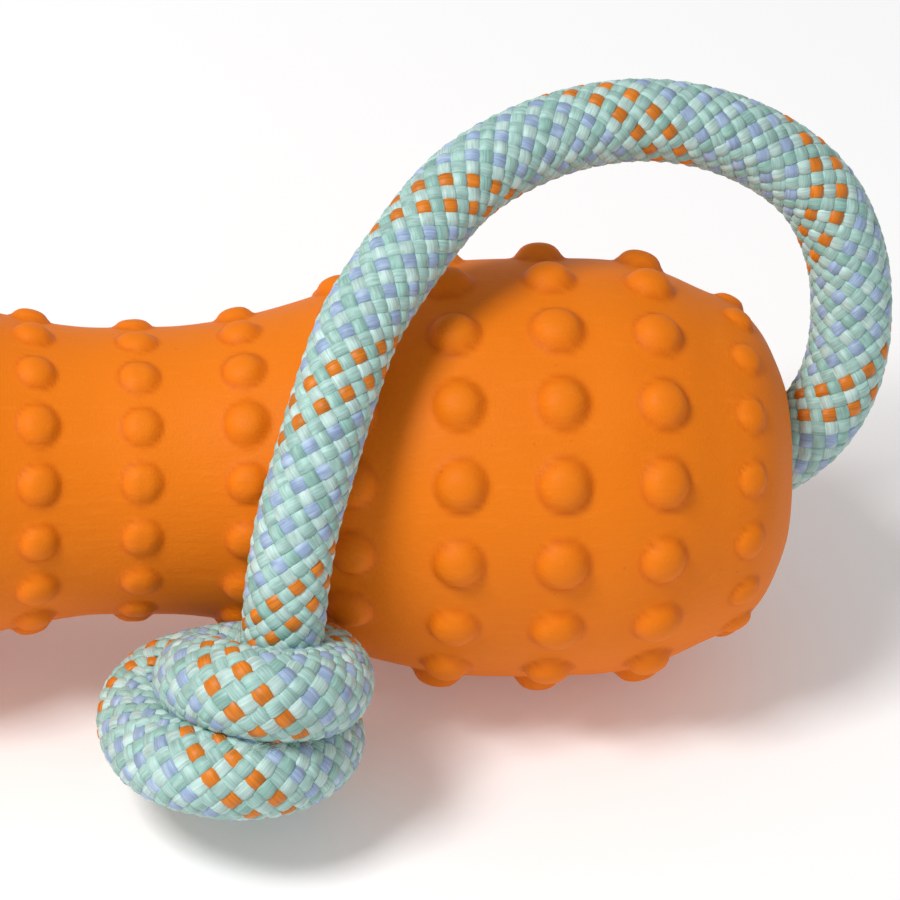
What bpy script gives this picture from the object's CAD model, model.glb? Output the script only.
"""Floating training bumper: nubbed rubber body and braided throw rope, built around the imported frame."""
import math

import bpy
import numpy as np
from mathutils import Matrix, Vector


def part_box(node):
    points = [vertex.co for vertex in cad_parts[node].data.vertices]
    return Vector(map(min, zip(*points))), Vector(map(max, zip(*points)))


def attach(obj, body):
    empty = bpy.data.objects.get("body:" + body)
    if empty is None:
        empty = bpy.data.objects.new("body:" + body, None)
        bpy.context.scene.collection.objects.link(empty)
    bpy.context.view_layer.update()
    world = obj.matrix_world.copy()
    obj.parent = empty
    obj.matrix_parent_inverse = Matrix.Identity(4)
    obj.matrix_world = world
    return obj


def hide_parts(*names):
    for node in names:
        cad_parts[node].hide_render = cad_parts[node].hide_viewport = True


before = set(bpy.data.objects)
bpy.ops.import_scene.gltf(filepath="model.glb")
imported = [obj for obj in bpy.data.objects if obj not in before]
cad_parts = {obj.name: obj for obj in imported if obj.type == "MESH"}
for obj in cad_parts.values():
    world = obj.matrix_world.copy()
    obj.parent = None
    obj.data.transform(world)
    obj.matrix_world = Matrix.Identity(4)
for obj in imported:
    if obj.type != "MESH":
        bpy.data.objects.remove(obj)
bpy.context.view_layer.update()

MM = 0.001
body_low, body_high = (np.array(corner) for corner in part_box("bumper_body"))
WAIST = np.array([(body_low[0] + body_high[0]) / 2, 0.0, (body_low[2] + body_high[2]) / 2])
HALF_LENGTH = (body_high[0] - body_low[0]) / 2

# Rubber body, in metres, as in the part's source
WAIST_RADIUS = 0.0214
BELLY_RADIUS = 0.0313
BELLY_STATION = 0.065
END_FACE_RADIUS = 0.0135
WALL = 0.006
END_WALL = 0.015
WAIST_TO_BELLY = [(0, 0), (0.11, 0.012), (0.24, 0.14), (0.36, 0.33), (0.48, 0.57), (0.6, 0.79), (0.74, 0.96),
                  (0.87, 1)]
BELLY_TO_END = [(0, 1), (0.215, 0.98), (0.437, 0.89), (0.62, 0.745), (0.72, 0.665), (0.81, 0.57), (0.9, 0.39),
                (0.975, 0.12), (1, 0)]
NUBS_PER_RING = 16
RING_SPACING = 0.01525
BELLY_NUB_HEIGHT = 0.0024
BELLY_NUB_RADIUS = 0.0047
WAIST_NUB_HEIGHT = 0.0012
WAIST_NUB_RADIUS = 0.0037
SHOULDER_INSET = 0.0075
SHOULDER_RING = HALF_LENGTH - SHOULDER_INSET
SHOULDER_NUB_HEIGHT = 0.0011
SHOULDER_NUB_RADIUS = 0.0033
NUB_UNEVENNESS = 0.1
NUB_PROFILE = [(0, 1), (0.2, 0.97), (0.39, 0.875), (0.53, 0.73), (0.64, 0.52), (0.73, 0.29), (0.82, 0.09),
               (1, 0)]
NUB_FOOT = 0.84
SKIN_WOBBLE = 0.0005
MOUTH_RADIUS = 0.011
MOUTH_DEPTH = 0.010
BORE_RADIUS = 0.0066
SHELL_COLUMNS = 240

# Rope
ROPE_DIAMETER = 0.0125
KNOT_SWELL = 1.1
STRANDS_EACH_WAY = 12
BRAID_PITCH = 0.0324
STRAND_THICKNESS = 0.0009
STRAND_SECTION = np.array([(1.0, -0.15), (0.84, 0.66), (0, 1.0), (-0.84, 0.66), (-1.0, -0.15), (0, -0.9)])
LINE_STEP = 0.0001
LINE_SOFTNESS = 0.0012
KNOT_SWELL_REACH = 0.008
TAIL_TAPER_REACH = 0.014
SEAL_HEIGHT = 0.0015

# Distances along the rope are counted from this place in the bore, given from the middle of the waist
ROPE_ZERO = (0.080, 0, 0)

# How far the whole braid is turned about its own line, in degrees, by distance along the rope
BRAID_TURN = [(0.0, -37), (0.196, -37), (0.212, -42), (0.268, -103), (0.300, -103), (0.345, -250),
              (0.50, -250)]

# How closely the yarns are laid, by the same distance: a knot packs them closer
BRAID_CLOSENESS = [(-0.190, 1.3), (-0.182, 1.0), (0.196, 1.0), (0.206, 1.3), (0.50, 1.3)]

# Stopper knot, in millimetres
STOPPER_RADIUS = 10.5
STOPPER_PITCH = 11.5
STOPPER_TURNS = 2
STOPPER_GAP = 0.3

# The free rope from inside the right mouth to the throw knot, measured from the middle of the waist
THROW_ROPE_ROUTE = np.array([
    (88.6, 0, 0), (91, 0, 0), (94.2, 0.3, 0.6), (98, 1.3, 1.9), (102.6, 3.5, 4.9), (106.1, 6.3, 9.2),
    (108, 9.6, 14.2), (108.5, 13.2, 19.7), (107.7, 16.8, 26.2), (103.8, 20.3, 34.4), (98, 22, 40),
    (88, 22.6, 45.5), (76.4, 21.2, 48.9), (65.6, 18.1, 49.8), (55.7, 13.2, 49.3), (46.7, 6.7, 47.4),
    (37.6, -3.6, 42.2), (31, -12.3, 36.7), (27.2, -20, 30.5), (24.3, -26.2, 23.7), (21.4, -31.7, 14.9),
    (20.1, -35.1, 6.2), (19.7, -36.9, -0.3)]) * MM

# The same rope through the throw knot: down its core, twice round, and out at the back as a short tail
THROW_KNOT_ROUTE = np.array([
    (18.4, -39.1, -9.5), (16.7, -39.0, -15.8), (14.6, -37.3, -21.6), (12.8, -33.7, -25.1),
    (13.1, -29.3, -26.1), (15.8, -26.6, -25.7), (20.1, -26.4, -24.8), (24.0, -29.6, -23.2),
    (25.8, -35.3, -20.7), (25.5, -41.1, -18.4), (23.2, -46.2, -16.7), (19.4, -49.9, -15.7),
    (15.1, -51.8, -14.9), (11.0, -51.8, -14.9), (6.9, -50.1, -15.2), (3.3, -46.7, -16.5),
    (0.7, -41.8, -17.6), (-0.1, -36.4, -18.1), (0.9, -31.8, -17.9), (3.8, -29.2, -17.1),
    (8.1, -28.3, -16.0), (13.0, -27.8, -15.3), (18.0, -27.8, -14.6), (22.3, -29.2, -13.1),
    (25.5, -32.6, -11.0), (26.7, -38.4, -8.6), (25.2, -43.6, -6.3), (21.8, -47.0, -4.2),
    (17.9, -48.2, -3.3), (14.0, -47.5, -3.1), (10.5, -44.6, -4.4), (8.1, -40.7, -6.7), (7.8, -36.4, -10.1),
    (9.3, -33.6, -13.8), (11.0, -32.4, -18.0), (10.2, -31.4, -22.6), (7.4, -30.0, -25.6),
    (4.4, -27.6, -26.2), (-0.6, -23.6, -26.2)]) * MM


# ---------------------------------------------------------------- camera
CAMERA_AZIMUTH = math.radians(-8.3)
CAMERA_ELEVATION = math.radians(38.46)
CAMERA_ROLL = math.radians(4.68)
CAMERA_DISTANCE = 1.1
FRAME_WIDTH = 0.135
SENSOR_WIDTH = 36
CAMERA_TARGET = np.array([0.0477, 0.0016, 0.0021])


def make_camera():
    """A long lens from above the near side, rolled until the bore's axis lies nearly level."""
    sin_a, cos_a = math.sin(CAMERA_AZIMUTH), math.cos(CAMERA_AZIMUTH)
    sin_e, cos_e = math.sin(CAMERA_ELEVATION), math.cos(CAMERA_ELEVATION)
    back = Vector((sin_a * cos_e, -cos_a * cos_e, sin_e))
    level_right = Vector((cos_a, sin_a, 0))
    level_up = Vector((-sin_a * sin_e, cos_a * sin_e, cos_e))
    right = math.cos(CAMERA_ROLL) * level_right + math.sin(CAMERA_ROLL) * level_up
    up = math.cos(CAMERA_ROLL) * level_up - math.sin(CAMERA_ROLL) * level_right
    camera = bpy.data.objects.new("camera", bpy.data.cameras.new("camera"))
    bpy.context.scene.collection.objects.link(camera)
    camera.data.sensor_width = SENSOR_WIDTH
    camera.data.lens = SENSOR_WIDTH * CAMERA_DISTANCE / FRAME_WIDTH
    camera.data.clip_start = 0.01
    place = Vector(WAIST + CAMERA_TARGET) + CAMERA_DISTANCE * back
    turn = Matrix((right, up, back)).transposed().to_4x4()
    camera.matrix_world = Matrix.Translation(place) @ turn
    bpy.context.scene.camera = camera


# ---------------------------------------------------------------- shader maths
class Socket:
    """A node's output, with sums written as Python expressions."""

    def __init__(self, tree, output):
        self.tree = tree
        self.output = output

    def math(self, operation, *others):
        return self.tree.node("ShaderNodeMath", {"operation": operation}, [self, *others])

    def __add__(self, other):
        return self.math("ADD", other)

    def __sub__(self, other):
        return self.math("SUBTRACT", other)

    def __rsub__(self, other):
        return self.tree.node("ShaderNodeMath", {"operation": "SUBTRACT"}, [other, self])

    def __mul__(self, other):
        return self.math("MULTIPLY", other)

    def __truediv__(self, other):
        return self.math("DIVIDE", other)

    __radd__ = __add__
    __rmul__ = __mul__


class Tree:
    """Makes nodes in one node tree."""

    def __init__(self, tree):
        self.tree = tree

    def node(self, kind, settings=None, inputs=(), output=0):
        made = self.tree.nodes.new(kind)
        for name, value in (settings or {}).items():
            if name == "stops":
                ramp = made.color_ramp
                while len(ramp.elements) < len(value):
                    ramp.elements.new(1)
                for element, (place, colour) in zip(ramp.elements, value):
                    element.position = place
                    element.color = (*colour, 1)
            else:
                setattr(made, name, value)
        pairs = inputs.items() if isinstance(inputs, dict) else enumerate(inputs)
        for name, value in pairs:
            socket = made.inputs[name]
            if isinstance(value, Socket):
                self.tree.links.new(value.output, socket)
            elif value is not None:
                socket.default_value = value
        return Socket(self, made.outputs[output]) if made.outputs else None

    def mix_colour(self, factor, first, second, blend="MIX"):
        return self.node("ShaderNodeMix", {"data_type": "RGBA", "blend_type": blend},
                         {0: factor, 6: first, 7: second}, output=2)

    def noise(self, vector, scale, detail=2.0, roughness=0.5):
        return self.node("ShaderNodeTexNoise", None,
                         {"Vector": vector, "Scale": scale, "Detail": detail, "Roughness": roughness})


def new_material(name):
    material = bpy.data.materials.new(name)
    material.use_nodes = True
    material.node_tree.nodes.clear()
    return material, Tree(material.node_tree)


def finish_material(tree, shader_inputs):
    shader = tree.node("ShaderNodeBsdfPrincipled", None, shader_inputs)
    tree.node("ShaderNodeOutputMaterial", None, {"Surface": shader})


def srgb(red, green, blue):
    """The linear colour that a shader takes, from display values of 0 to 255."""
    shares = (red / 255, green / 255, blue / 255)
    return tuple(((c + 0.055) / 1.055) ** 2.4 if c > 0.04 else c / 12.92 for c in shares)


def rubber_material():
    """Moulded natural rubber: satin orange, faintly mottled, darker round each nub, with a fine grain."""
    material, tree = new_material("body_rubber")
    place = tree.node("ShaderNodeTexCoord", output=3)
    crease = tree.node("ShaderNodeAttribute", {"attribute_name": "crease"}, output=2)
    mottle = tree.noise(place, 45.0, 4.0, 0.6)
    stretched = tree.node("ShaderNodeMapping", {"vector_type": "POINT"},
                          {"Vector": place, "Scale": (150, 900, 900)})
    scuff = tree.noise(stretched, 1.0, 3.0, 0.65)
    grain = tree.noise(place, 2600.0, 2.0, 0.5)
    speck = tree.noise(place, 800.0, 1.0, 0.5)
    base = tree.mix_colour(mottle, (*srgb(228, 116, 9), 1), (*srgb(238, 127, 19), 1))
    dusty = tree.node("ShaderNodeMapRange", None, [scuff, 0.56, 0.74, 0.0, 0.22])
    colour = tree.mix_colour(dusty, base, (*srgb(246, 140, 40), 1))
    dark = tree.node("ShaderNodeMapRange", None, [speck, 0.76, 0.84, 0.0, 0.3])
    colour = tree.mix_colour(dark, colour, (*srgb(170, 70, 4), 1))
    colour = tree.mix_colour(crease * (0.12 + 0.6 * mottle), colour, (*srgb(190, 76, 0), 1))
    roughness = 0.46 + 0.16 * scuff + 0.05 * mottle
    bump = tree.node("ShaderNodeBump", None, {"Strength": 0.6, "Distance": 0.00016,
                                               "Height": 0.6 * grain + 1.1 * scuff + 0.3 * speck})
    finish_material(tree, {"Base Color": colour, "Roughness": roughness, "Normal": bump,
                           "Specular IOR Level": 0.14})
    return material


def yarn_material():
    """Braided filament yarn: the strand's own colour, drawn out in fine bright and dark filaments."""
    material, tree = new_material("rope_yarn")
    place = tree.node("ShaderNodeUVMap", {"uv_map": "strand"})
    colour = tree.node("ShaderNodeAttribute", {"attribute_name": "yarn_colour"})
    fine = tree.node("ShaderNodeMapping", {"vector_type": "POINT"},
                     {"Vector": place, "Scale": (9.0, 420.0, 1.0)})
    filament = tree.noise(fine, 1.0, 2.0, 0.6)
    wide = tree.node("ShaderNodeMapping", {"vector_type": "POINT"},
                     {"Vector": place, "Scale": (1.6, 500.0, 1.0)})
    glint = tree.noise(wide, 1.0, 1.0, 0.5)
    bright = tree.node("ShaderNodeMapRange", None, [filament + 0.7 * glint, 0.6, 1.1, 0.74, 1.3])
    shade = tree.node("ShaderNodeCombineColor", None, [bright, bright, bright])
    tinted = tree.mix_colour(1.0, colour, shade, "MULTIPLY")
    pale = tree.node("ShaderNodeMapRange", None, [glint, 0.55, 0.75, 0.0, 0.34])
    coolness = tree.node("ShaderNodeSeparateColor", None, [colour], output=2)
    tinted = tree.mix_colour(pale * coolness * 2.0, tinted, (*srgb(212, 228, 228), 1))
    bump = tree.node("ShaderNodeBump", None, {"Strength": 0.35, "Distance": 0.0001, "Height": filament})
    finish_material(tree, {"Base Color": tinted, "Roughness": 0.38 + 0.25 * filament, "Normal": bump,
                           "Sheen Weight": 0.12, "Sheen Roughness": 0.35, "Specular IOR Level": 0.5})
    return material


def melted_material():
    """Rope end melted and pressed: darker, glossy in patches, with the yarn colours run together."""
    material, tree = new_material("rope_end")
    place = tree.node("ShaderNodeTexCoord", output=3)
    swirl = tree.noise(place, 420.0, 3.0, 0.6)
    colour = tree.node("ShaderNodeValToRGB", {"stops": [
        (0.3, srgb(96, 132, 122)), (0.52, srgb(150, 186, 172)), (0.68, srgb(206, 122, 60))]}, [swirl])
    bump = tree.node("ShaderNodeBump", None, {"Strength": 0.6, "Distance": 0.0004, "Height": swirl})
    finish_material(tree, {"Base Color": colour, "Roughness": 0.3 + 0.3 * swirl, "Normal": bump})
    return material


def foam_material():
    """Closed-cell foam, pale and finely pitted."""
    material, tree = new_material("core_foam")
    place = tree.node("ShaderNodeTexCoord", output=3)
    cells = tree.node("ShaderNodeTexVoronoi", None, {"Vector": place, "Scale": 900.0})
    colour = tree.mix_colour(cells, (*srgb(226, 220, 200), 1), (*srgb(240, 236, 222), 1))
    bump = tree.node("ShaderNodeBump", None, {"Strength": 0.5, "Distance": 0.0003, "Height": cells})
    finish_material(tree, {"Base Color": colour, "Roughness": 0.9, "Normal": bump})
    return material


# ---------------------------------------------------------------- meshes
def new_piece(name, vertices, faces, material):
    mesh = bpy.data.meshes.new(name)
    mesh.from_pydata(np.asarray(vertices).tolist(), [], faces)
    mesh.materials.append(material)
    mesh.shade_smooth()
    piece = bpy.data.objects.new(name, mesh)
    bpy.context.scene.collection.objects.link(piece)
    return piece


def spline(points, step):
    """A smooth line through hand-placed points, as points one step apart."""
    points = np.asarray(points, float)
    padded = np.vstack([2 * points[0] - points[1], points, 2 * points[-1] - points[-2]])
    dense = []
    for p0, p1, p2, p3 in zip(padded, padded[1:], padded[2:], padded[3:]):
        t = np.linspace(0, 1, 24, endpoint=False)[:, None]
        t01, t12, t23 = (max(np.linalg.norm(b - a), 1e-9) ** 0.5 for a, b in ((p0, p1), (p1, p2), (p2, p3)))
        m1 = (p2 - p1) + t12 * ((p1 - p0) / t01 - (p2 - p0) / (t01 + t12))
        m2 = (p2 - p1) + t12 * ((p3 - p2) / t23 - (p3 - p1) / (t12 + t23))
        dense.append((2 * t**3 - 3 * t**2 + 1) * p1 + (t**3 - 2 * t**2 + t) * m1
                     + (3 * t**2 - 2 * t**3) * p2 + (t**3 - t**2) * m2)
    dense = np.vstack([*dense, points[-1:]])
    reach = np.concatenate([[0], np.cumsum(np.linalg.norm(np.diff(dense, axis=0), axis=1))])
    at = np.linspace(0, reach[-1], int(round(reach[-1] / step)) + 1)
    return np.column_stack([np.interp(at, reach, dense[:, axis]) for axis in range(3)])


def softened(line, reach, step):
    """Takes the small kinks out of a line, as a stiff rope does, with its two ends kept."""
    half = int(round(3 * reach / step))
    weights = np.exp(-0.5 * (np.arange(-half, half + 1) * step / reach) ** 2)
    weights /= weights.sum()
    ahead = 2 * line[0] - line[1:half + 1][::-1]
    behind = 2 * line[-1] - line[-half - 1:-1][::-1]
    full = np.vstack([ahead, line, behind])
    return np.column_stack([np.convolve(full[:, axis], weights, mode="valid") for axis in range(3)])


def frames_along(line):
    """The line's direction, and a side direction carried along it without twist."""
    way = np.gradient(line, axis=0)
    way /= np.linalg.norm(way, axis=1)[:, None]
    side = np.zeros_like(line)
    start = np.cross(way[0], (0, 1, 0))
    side[0] = start / np.linalg.norm(start)
    for index in range(1, len(line)):
        carried = side[index - 1] - way[index] * np.dot(side[index - 1], way[index])
        side[index] = carried / np.linalg.norm(carried)
    return way, side, np.cross(way, side)


MINT, PALE_MINT, DEEP_MINT, LAVENDER, TRACER = (
    srgb(157, 194, 186), srgb(178, 206, 200), srgb(142, 184, 174), srgb(148, 170, 201), srgb(207, 115, 6))
RIGHT_HAND_YARNS = [TRACER, MINT] * 2 + [LAVENDER, MINT] * 4
LEFT_HAND_YARNS = [PALE_MINT, MINT, PALE_MINT, DEEP_MINT] * 3
CORE_COLOUR = srgb(84, 124, 114)
FIBRE_COLOUR = srgb(196, 220, 212)


class Rope:
    """The line that a braid is laid on, with its frames, bend, swell and roll worked out along it."""

    def __init__(self, line, start, swell):
        self.line = line
        self.way, self.side, self.across = frames_along(line)
        self.reach = start + np.arange(len(line)) * LINE_STEP
        self.bend = np.gradient(self.way, axis=0) / LINE_STEP
        self.swell = swell
        self.roll = np.radians(np.interp(self.reach, *zip(*BRAID_TURN)))
        closeness = np.interp(self.reach, *zip(*BRAID_CLOSENESS))
        lay = np.concatenate([[0], np.cumsum(closeness[1:]) * LINE_STEP])
        self.turned = 2 * math.pi / BRAID_PITCH * (lay - np.interp(0, self.reach, lay))

    def pick(self, places):
        return np.clip(np.round((places - self.reach[0]) / LINE_STEP).astype(int), 0, len(self.line) - 1)


def strand(rope, places, index, hand):
    """One yarn of the braid: a flat tube that winds round the rope, over one yarn and under the next."""
    at = rope.pick(places)
    turned = rope.turned[at]
    angle = 2 * math.pi * index / STRANDS_EACH_WAY + hand * turned + rope.roll[at]
    wave = np.tanh(1.6 * np.cos(STRANDS_EACH_WAY * turned)) / math.tanh(1.6)
    half_thick = STRAND_THICKNESS / 2
    radius = ROPE_DIAMETER / 2 * rope.swell[at] - 1.85 * half_thick + hand * 0.85 * half_thick * wave
    outward = np.cos(angle)[:, None] * rope.side[at] + np.sin(angle)[:, None] * rope.across[at]
    stretch = np.clip(1 - radius * np.sum(outward * rope.bend[at], axis=1), 0.35, 2.2)
    middle = rope.line[at] + radius[:, None] * outward
    way = np.gradient(middle, axis=0)
    way /= np.linalg.norm(way, axis=1)[:, None]
    out = outward - way * np.sum(outward * way, axis=1)[:, None]
    out /= np.linalg.norm(out, axis=1)[:, None]
    flank = np.cross(way, out)
    lean = np.arctan(np.gradient(turned, places) * radius / stretch)
    half_width = 2 * math.pi * radius / STRANDS_EACH_WAY * np.cos(lean) * 0.5 * 1.1
    across, up = STRAND_SECTION.T
    rings = (middle[:, None] + half_width[:, None, None] * across[None, :, None] * flank[:, None]
             + half_thick * up[None, :, None] * out[:, None])
    return rings.reshape(-1, 3)


def patch_shades(turned, hand, draws):
    """Brightness along a yarn, a little different on each crossing that shows."""
    crossing = np.floor(turned * STRANDS_EACH_WAY / (2 * math.pi) + 0.25 * (1 - hand)).astype(int)
    shades = draws.uniform(0.9, 1.1, crossing.max() - crossing.min() + 1)
    return shades[crossing - crossing.min()]


def tube_faces(rings, sides, first):
    row = np.arange(rings - 1)[:, None] * sides + first
    a = row + np.arange(sides)
    b = row + (np.arange(sides) + 1) % sides
    quads = np.stack([a, b, b + sides, a + sides], axis=-1).reshape(-1, 4).tolist()
    start = list(range(first, first + sides))[::-1]
    end = list(range(first + (rings - 1) * sides, first + rings * sides))
    return quads + [start, end]


def braided(name, rope, begin, end, step, material):
    """The braid on a stretch of the rope, all its yarns and a dark core, as one mesh."""
    sides = len(STRAND_SECTION)
    places = np.linspace(begin, end, int(round((end - begin) / step)) + 1)
    draws = np.random.default_rng(int(begin * 1000) + 900)
    vertices, faces, colours, along, aside = [], [], [], [], []
    count = 0
    for hand, yarns in ((1, RIGHT_HAND_YARNS), (-1, LEFT_HAND_YARNS)):
        for index, colour in enumerate(yarns):
            vertices.append(strand(rope, places, index, hand))
            faces += tube_faces(len(places), sides, count)
            shade = np.repeat(patch_shades(rope.turned[rope.pick(places)], hand, draws), sides)
            tone = np.clip(np.outer(shade, colour), 0, 1)
            colours.append(np.column_stack([tone, np.ones(len(tone))]))
            along.append(np.repeat(places + 0.37 * index + 0.11 * hand, sides))
            aside.append(np.tile(STRAND_SECTION[:, 0] * 0.5 + 3.1 * index, len(places)))
            count += len(places) * sides
    core_sides = 16
    core_places = np.linspace(begin, end, int(round((end - begin) / 0.0015)) + 1)
    at = rope.pick(core_places)
    turns = np.arange(core_sides) * 2 * math.pi / core_sides
    radius = (ROPE_DIAMETER / 2 * rope.swell[at] - 1.9 * STRAND_THICKNESS)[:, None, None]
    core = rope.line[at][:, None] + radius * (np.cos(turns)[None, :, None] * rope.side[at][:, None]
                                              + np.sin(turns)[None, :, None] * rope.across[at][:, None])
    faces += tube_faces(len(at), core_sides, count)
    vertices.append(core.reshape(-1, 3))
    colours.append(np.tile((*CORE_COLOUR, 1), (len(at) * core_sides, 1)))
    along.append(np.repeat(core_places, core_sides))
    aside.append(np.tile(turns, len(at)))
    piece = new_piece(name, np.vstack(vertices), faces, material)
    mesh = piece.data
    attribute = mesh.color_attributes.new("yarn_colour", "FLOAT_COLOR", "POINT")
    attribute.data.foreach_set("color", np.vstack(colours).astype(np.float32).ravel())
    corner = np.zeros(len(mesh.loops), np.int32)
    mesh.loops.foreach_get("vertex_index", corner)
    layer = mesh.uv_layers.new(name="strand")
    uv = np.column_stack([np.concatenate(aside)[corner], np.concatenate(along)[corner]]).astype(np.float32)
    layer.data.foreach_set("uv", uv.ravel())
    return piece


def outline():
    """The body's outline from the waist to the edge of its end face, as rows of station and radius."""
    rise = [(a * BELLY_STATION, WAIST_RADIUS + s * (BELLY_RADIUS - WAIST_RADIUS)) for a, s in WAIST_TO_BELLY]
    fall = [(BELLY_STATION + a * (HALF_LENGTH - BELLY_STATION),
             END_FACE_RADIUS + s * (BELLY_RADIUS - END_FACE_RADIUS)) for a, s in BELLY_TO_END]
    points = np.array([(x, r, 0) for x, r in rise + fall])
    return spline(points, 0.0002)[:, :2]


def bumper_profile():
    """The closed outline that is turned to make the shell.

    With each point come how far it is outer skin, from 0 to 1, and how much longer the skin is than its reach
    along the bore."""
    half = outline()
    reach = np.concatenate([[0], np.cumsum(np.hypot(*np.diff(half, axis=0).T))])
    rings = np.append(np.arange(6) * RING_SPACING, SHOULDER_RING)
    off_ring = np.abs(half[:, 0][:, None] - rings).min(axis=1)
    fineness = np.interp(off_ring, (0.0046, 0.0058), (1 / 0.0005, 1 / 0.0011))
    rows = np.concatenate([[0], np.cumsum(np.diff(reach) * fineness[1:])])
    at = np.interp(np.linspace(0, rows[-1], int(rows[-1]) + 1), rows, reach)
    right = np.column_stack([np.interp(at, reach, half[:, 0]), np.interp(at, reach, half[:, 1])])
    skin = np.vstack([right[:0:-1] * (-1, 1), right])
    turns = np.linspace(math.pi / 2, 0, 12)
    mouth = np.column_stack([HALF_LENGTH - MOUTH_DEPTH * (1 - np.sin(turns)),
                             MOUTH_RADIUS - (MOUTH_RADIUS - BORE_RADIUS) * np.cos(turns)])
    lip = np.array([(HALF_LENGTH + 0.0001, END_FACE_RADIUS - 0.0008), (HALF_LENGTH, MOUTH_RADIUS + 0.0006)])
    inner_end = HALF_LENGTH - END_WALL
    stations = np.linspace(inner_end, -inner_end, 15)
    radii = np.interp(np.abs(stations), half[:, 0], half[:, 1]) - WALL
    hollow = np.column_stack([stations, radii])
    flip = np.array([-1, 1])
    inside = np.vstack([lip, mouth, [(inner_end, BORE_RADIUS)], hollow, [(-inner_end, BORE_RADIUS)],
                        mouth[::-1] * flip, lip[::-1] * flip])
    slope = np.gradient(skin[:, 1], skin[:, 0])
    slant = np.hypot(1, np.clip(slope, -3, 3))
    share = np.clip((HALF_LENGTH - 0.0015 - np.abs(skin[:, 0])) / 0.001, 0, 1)
    points = np.vstack([skin, inside])
    share = np.concatenate([share, np.zeros(len(inside))])
    slant = np.concatenate([slant, np.ones(len(inside))])
    return points, share, slant


def turned_shell(name, material, columns):
    """The closed outline turned about the bore's axis, with its columns closest together on the nubs."""
    points, share, slant = bumper_profile()
    share_round = np.arange(columns) / columns * NUBS_PER_RING
    crowded = share_round + 0.35 * np.sin(2 * math.pi * share_round) / (2 * math.pi)
    angle = crowded * 2 * math.pi / NUBS_PER_RING
    x = np.repeat(points[:, 0], columns)
    radius = np.repeat(points[:, 1], columns)
    around = np.tile(angle, len(points))
    vertices = np.column_stack([x, radius * np.sin(around), -radius * np.cos(around)]) + WAIST
    rows = np.arange(len(points))[:, None] * columns
    next_rows = (np.arange(len(points))[:, None] + 1) % len(points) * columns
    column = np.arange(columns)[None]
    after = (column + 1) % columns
    faces = np.stack([rows + column, rows + after, next_rows + after, next_rows + column], -1).reshape(-1, 4)
    piece = new_piece(name, vertices, faces.tolist(), material)
    for label, values in (("skin", share), ("slant", slant)):
        attribute = piece.data.attributes.new(label, "FLOAT", "POINT")
        attribute.data.foreach_set("value", np.repeat(values, columns).astype(np.float32))
    return piece


class GeometryTree(Tree):
    """A geometry node tree, whose sums are written as those of a shader are."""

    def __init__(self, name, inputs):
        super().__init__(bpy.data.node_groups.new(name, "GeometryNodeTree"))
        sockets = self.tree.interface
        sockets.new_socket("Geometry", in_out="INPUT", socket_type="NodeSocketGeometry")
        sockets.new_socket("Geometry", in_out="OUTPUT", socket_type="NodeSocketGeometry")
        self.identifiers = {}
        for label, kind in inputs:
            made = sockets.new_socket(label, in_out="INPUT", socket_type=kind)
            self.identifiers[label] = made.identifier
        self.group_input = self.tree.nodes.new("NodeGroupInput")

    def given(self, label):
        return Socket(self, self.group_input.outputs[label])

    def finish(self, geometry, material):
        real = self.node("GeometryNodeRealizeInstances", None, [geometry])
        painted = self.node("GeometryNodeSetMaterial", None, {"Geometry": real, "Material": material})
        self.node("NodeGroupOutput", None, [painted])


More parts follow.
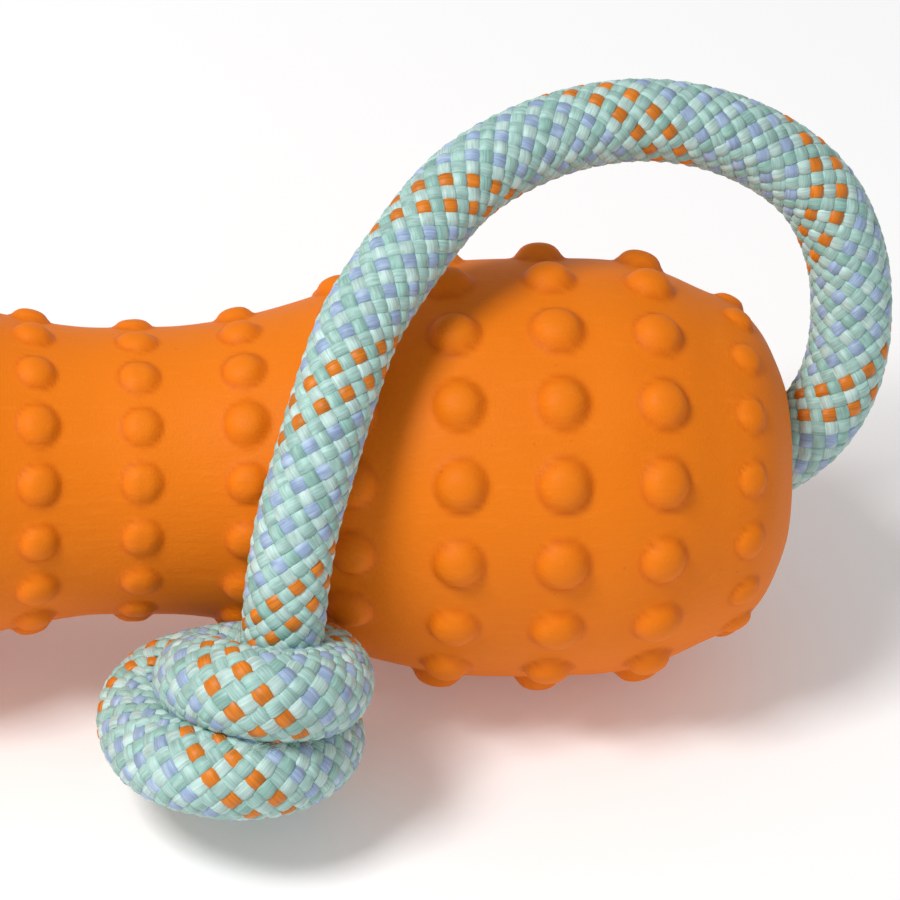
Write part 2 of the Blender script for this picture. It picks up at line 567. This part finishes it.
def nub_tree():
    """Raises rings of round nubs on a turned skin, from the place of each point of it."""
    lengths = ["Waist X", "Axis Z", "Waist Radius", "Belly Radius", "Ring Spacing", "Belly Nub Height",
               "Belly Nub Radius", "Waist Nub Height", "Waist Nub Radius", "Shoulder Ring",
               "Shoulder Nub Height", "Shoulder Nub Radius", "Unevenness"]
    tree = GeometryTree("raised_nubs", [(label, "NodeSocketFloat") for label in lengths]
                        + [("Nubs Per Ring", "NodeSocketInt"), ("Material", "NodeSocketMaterial")])
    position = tree.node("GeometryNodeInputPosition")
    x = tree.node("ShaderNodeSeparateXYZ", None, [position], output=0)
    y = tree.node("ShaderNodeSeparateXYZ", None, [position], output=1)
    z = tree.node("ShaderNodeSeparateXYZ", None, [position], output=2) - tree.given("Axis Z")
    signed = x - tree.given("Waist X")
    station = signed.math("ABSOLUTE")
    spacing = tree.given("Ring Spacing")
    shoulder = tree.given("Shoulder Ring")
    last_ring = (shoulder / spacing - 0.5).math("FLOOR")
    at_shoulder = station.math("GREATER_THAN", (last_ring * spacing + shoulder) * 0.5)
    plain_ring = (station / spacing + 0.5).math("FLOOR") * spacing

    def between(first, second, share):
        return first + share * (second - first)

    girth = (y * y + z * z).math("SQRT")
    slimmest = tree.given("Waist Radius")
    thickness = (girth - slimmest) / (tree.given("Belly Radius") - slimmest)
    share = thickness.math("MAXIMUM", 0.0).math("MINIMUM", 1.0)
    plain_radius = between(tree.given("Waist Nub Radius"), tree.given("Belly Nub Radius"), share)
    plain_height = between(tree.given("Waist Nub Height"), tree.given("Belly Nub Height"), share.math("SQRT"))
    ring = between(plain_ring, shoulder, at_shoulder)
    radius = between(plain_radius, tree.given("Shoulder Nub Radius"), at_shoulder)
    height = between(plain_height, tree.given("Shoulder Nub Height"), at_shoulder)
    slant = tree.node("GeometryNodeInputNamedAttribute", {"data_type": "FLOAT"}, ["slant"])
    skin = tree.node("GeometryNodeInputNamedAttribute", {"data_type": "FLOAT"}, ["skin"])
    along = (station - ring) * slant
    count = tree.given("Nubs Per Ring")
    turns = y.math("ARCTAN2", z * -1.0) / (2 * math.pi) * count
    slot = turns.math("FLOOR")
    offset = (turns - slot - 0.5) * (2 * math.pi) / count
    around = offset * girth
    which_nub = tree.node("ShaderNodeCombineXYZ", None, [signed.math("SIGN") * ring * 100.0, slot, 0.0])
    luck = tree.node("ShaderNodeTexWhiteNoise", {"noise_dimensions": "3D"}, {"Vector": which_nub})
    spread = radius * (1.0 + tree.given("Unevenness") * (luck - 0.5))
    distance = (along * along + around * around).math("SQRT") / spread
    dome = tree.tree.nodes.new("ShaderNodeFloatCurve")
    curve = dome.mapping.curves[0]
    while len(curve.points) < len(NUB_PROFILE):
        curve.points.new(0.5, 0.5)
    for point, (across, up) in zip(curve.points, NUB_PROFILE):
        point.location = (across, up)
    dome.mapping.update()
    tree.tree.links.new(distance.math("MINIMUM", 1.0).output, dome.inputs["Value"])
    taller = 1.0 + 0.5 * tree.given("Unevenness") * (luck - 0.5)
    lift = Socket(tree, dome.outputs[0]) * height * skin * taller
    wobble = tree.node("ShaderNodeTexNoise", {"noise_dimensions": "3D"}, {"Vector": position, "Scale": 38.0})
    lift = lift + skin * (wobble - 0.5) * SKIN_WOBBLE
    normal = tree.node("GeometryNodeInputNormal")
    push = tree.node("ShaderNodeVectorMath", {"operation": "SCALE"}, {"Vector": normal, "Scale": lift})
    raised = tree.node("GeometryNodeSetPosition", None,
                       {"Geometry": tree.given("Geometry"), "Offset": push})
    off_edge = (distance - NUB_FOOT).math("ABSOLUTE") / (1 - NUB_FOOT)
    crease = (1.0 - off_edge).math("MAXIMUM", 0.0) * skin
    marked = tree.node("GeometryNodeStoreNamedAttribute", {"data_type": "FLOAT", "domain": "POINT"},
                       {"Geometry": raised, "Name": "crease", "Value": crease})
    tree.finish(marked, tree.given("Material"))
    return tree


def grown(piece, tree, values):
    """Runs a geometry tree on a piece and keeps the result as its plain mesh."""
    modifier = piece.modifiers.new("grow", "NODES")
    modifier.node_group = tree.tree
    for label, value in values.items():
        modifier[tree.identifiers[label]] = value
    bpy.context.view_layer.update()
    evaluated = piece.evaluated_get(bpy.context.evaluated_depsgraph_get())
    mesh = bpy.data.meshes.new_from_object(evaluated)
    piece.modifiers.remove(modifier)
    piece.data = mesh
    mesh.shade_smooth()
    return piece


def make_body():
    """The nubbed rubber shell, with its bore and its rounded mouths."""
    rubber = rubber_material()
    shell = turned_shell("rubber_body", rubber, SHELL_COLUMNS)
    grown(shell, nub_tree(), {
        "Waist X": float(WAIST[0]), "Axis Z": float(WAIST[2]), "Waist Radius": WAIST_RADIUS,
        "Belly Radius": BELLY_RADIUS, "Ring Spacing": RING_SPACING, "Belly Nub Height": BELLY_NUB_HEIGHT,
        "Belly Nub Radius": BELLY_NUB_RADIUS, "Waist Nub Height": WAIST_NUB_HEIGHT,
        "Waist Nub Radius": WAIST_NUB_RADIUS, "Shoulder Ring": float(SHOULDER_RING),
        "Shoulder Nub Height": SHOULDER_NUB_HEIGHT, "Shoulder Nub Radius": SHOULDER_NUB_RADIUS,
        "Unevenness": NUB_UNEVENNESS, "Nubs Per Ring": NUBS_PER_RING, "Material": rubber})
    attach(shell, "bumper")
    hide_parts("bumper_body")


def melted_end(name, node, centre, way, material):
    """A rope's end, melted and pressed into a low uneven button."""
    way = Vector(way).normalized()
    side = way.orthogonal().normalized()
    across = way.cross(side)
    draws = np.random.default_rng(7)
    rows = [(0.0, 0.90), (0.25, 1.0), (0.6, 1.0), (0.85, 0.86), (1.0, 0.55), (1.06, 0.2)]
    columns = 28
    wobble = 1 + 0.05 * draws.standard_normal(columns)
    wobble = (np.roll(wobble, 1) + wobble + np.roll(wobble, -1)) / 3
    vertices, faces = [], []
    for height, share in rows:
        for column in range(columns):
            turn = 2 * math.pi * column / columns
            radius = ROPE_DIAMETER / 2 * share * (1 + (wobble[column] - 1) * min(1, 1.5 * share))
            spot = Vector(centre) + way * height * SEAL_HEIGHT
            vertices.append(spot + float(radius) * (math.cos(turn) * side + math.sin(turn) * across))
    for row in range(len(rows) - 1):
        for column in range(columns):
            after = (column + 1) % columns
            faces.append([row * columns + column, row * columns + after,
                          (row + 1) * columns + after, (row + 1) * columns + column])
    faces.append(list(range(columns))[::-1])
    faces.append(list(range((len(rows) - 1) * columns, len(rows) * columns)))
    piece = new_piece(name, [tuple(vertex) for vertex in vertices], faces, material)
    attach(piece, "rope")
    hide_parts(node)
    return piece


def stopper_route():
    """From the tail beyond the left end, through the stopper knot's wraps, to the bore; in millimetres."""
    face = -HALF_LENGTH / MM - STOPPER_GAP - KNOT_SWELL * ROPE_DIAMETER / MM / 2
    turns = np.linspace(0, STOPPER_TURNS, STOPPER_TURNS * 12 + 1)
    angle = 2 * math.pi * turns
    wraps = np.column_stack([face - STOPPER_PITCH * (STOPPER_TURNS - turns) / STOPPER_TURNS,
                             STOPPER_RADIUS * np.sin(angle), -STOPPER_RADIUS * np.cos(angle)])
    outer = wraps[0, 0]
    tail = [(outer - 15.2, 0, 0), (outer - 11, 0, 0), (outer - 7.5, -0.6, -0.8), (outer - 4, -3.6, -3.4),
            (outer - 1.4, -5.6, -7.8)]
    inward = [(face + 2.6, 5.6, -7.6), (face + 6.4, 3.2, -2.6), (face + 11, 0.4, -0.3), (face + 16, 0, 0)]
    return np.vstack([tail, wraps, inward])


def make_rope(yarn, melted):
    """One rope from end to end, through both knots and the bore, cut where the cuts don't show."""
    left = stopper_route()
    bore = np.column_stack([np.arange(-60.0, 88.0, 20.0), np.zeros(8), np.zeros(8)])
    route = np.vstack([left * MM, bore * MM, THROW_ROPE_ROUTE, THROW_KNOT_ROUTE]) + WAIST
    line = softened(spline(route, LINE_STEP), LINE_SOFTNESS, LINE_STEP)

    def nearest(point):
        return np.argmin(np.linalg.norm(line - (WAIST + point), axis=1))

    start = -nearest(ROPE_ZERO) * LINE_STEP
    reach = start + np.arange(len(line)) * LINE_STEP
    knot_start = reach[nearest(THROW_ROPE_ROUTE[-1])]
    stopper_end = reach[nearest((-HALF_LENGTH + 0.004, 0, 0))]
    bulk = (np.clip((reach - knot_start) / KNOT_SWELL_REACH, 0, 1)
            + np.clip((stopper_end - reach) / KNOT_SWELL_REACH, 0, 1))
    slim = (np.clip((reach[-1] - reach) / TAIL_TAPER_REACH - 0.2, 0, 1)
            * np.clip((reach - start) / TAIL_TAPER_REACH - 0.2, 0, 1))
    rope = Rope(line, start, 1 + (KNOT_SWELL - 1) * bulk * slim)
    cut = knot_start + 0.006
    pieces = (("stopper_wraps", start, stopper_end, 0.00040, ["stopper_knot", "stopper_tail"]),
              ("bore_rope", stopper_end, 0.0, 0.0009, ["rope_bore_run"]),
              ("throw_rope", 0.0, cut, 0.00036, ["rope_span"]),
              ("throw_knot_wraps", cut, reach[-1], 0.00034, ["throw_knot", "rope_tail"]))
    made = {}
    for name, begin, end, step, nodes in pieces:
        made[name] = braided(name, rope, begin, end, step, yarn)
        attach(made[name], "rope")
        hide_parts(*nodes)
    seal = melted_end("throw_rope_end", "rope_tail_seal", line[-1], line[-1] - line[-2], melted)
    melted_end("stopper_rope_end", "stopper_tail_seal", line[0], line[0] - line[1], melted)


def make_fibres(yarn):
    """Short broken filaments, rubbed up where the throw knot's two wraps press on each other."""
    gap = spline(np.array([(24, -49.2, -9.6), (19, -52.8, -8.4), (14, -53.8, -8.0), (9, -52.2, -8.7),
                           (4.5, -48, -10.6)]) * MM, 0.0001) + WAIST
    draws = np.random.default_rng(23)
    vertices, faces = [], []
    sides, joints = 3, 5
    for _ in range(110):
        at = draws.integers(1, len(gap) - 1)
        along = (gap[at + 1] - gap[at - 1]) * draws.choice((-1, 1))
        along /= np.linalg.norm(along)
        heading = along + draws.normal(0, 0.45, 3) + np.array([0, -0.25, 0])
        spot = gap[at] + draws.normal(0, 0.0005, 3)
        curl = draws.normal(0, 0.35, 3)
        step = draws.uniform(0.0014, 0.0034) / (joints - 1)
        first = len(vertices)
        for joint in range(joints):
            way = heading / np.linalg.norm(heading)
            side = np.cross(way, (0.3, 0.2, 0.93))
            side /= np.linalg.norm(side)
            across = np.cross(way, side)
            thin = 0.000035 * (1 - 0.15 * joint)
            for turn in np.arange(sides) * 2 * math.pi / sides:
                vertices.append(spot + thin * (math.cos(turn) * side + math.sin(turn) * across))
            spot = spot + way * step
            heading = way + curl * 0.4
        faces += tube_faces(joints, sides, first)
    piece = new_piece("throw_knot_fibres", vertices, faces, yarn)
    attribute = piece.data.color_attributes.new("yarn_colour", "FLOAT_COLOR", "POINT")
    attribute.data.foreach_set("color", np.tile((*FIBRE_COLOUR, 1), len(vertices)).astype(np.float32))
    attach(piece, "rope")


def make_floor():
    """A matt white floor, just under the bumper, that glows faintly so that it stays white."""
    reach, drop = 6.0, -0.0003
    corners = [(-reach, -reach, drop), (reach, -reach, drop), (reach, reach, drop), (-reach, reach, drop)]
    material, tree = new_material("pale_floor")
    finish_material(tree, {"Base Color": (0.9, 0.9, 0.9, 1), "Roughness": 0.9, "Specular IOR Level": 0.0,
                           "Emission Color": (1, 1, 1, 1), "Emission Strength": 0.13})
    new_piece("floor", corners, [(0, 1, 2, 3)], material)


def make_light():
    """A white studio: even light from all round, and a soft key from high on the left."""
    world = bpy.data.worlds.new("studio")
    world.use_nodes = True
    background = world.node_tree.nodes["Background"]
    background.inputs["Color"].default_value = (1, 1, 1, 1)
    background.inputs["Strength"].default_value = 0.46
    bpy.context.scene.world = world
    bpy.context.scene.view_settings.view_transform = "Standard"
    lamp = bpy.data.lights.new("key", "AREA")
    lamp.shape = "RECTANGLE"
    lamp.size = lamp.size_y = 0.32
    lamp.energy = 9.0
    key = bpy.data.objects.new("key", lamp)
    bpy.context.scene.collection.objects.link(key)
    key.location = (-0.5, -0.3, 0.95)
    key.rotation_euler = (Vector(WAIST) - key.location).to_track_quat("-Z", "Y").to_euler()


make_camera()
yarn = yarn_material()
make_rope(yarn, melted_material())
make_fibres(yarn)
make_body()
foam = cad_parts["foam_core"]
foam.data.materials.clear()
foam.data.materials.append(foam_material())
make_floor()
make_light()
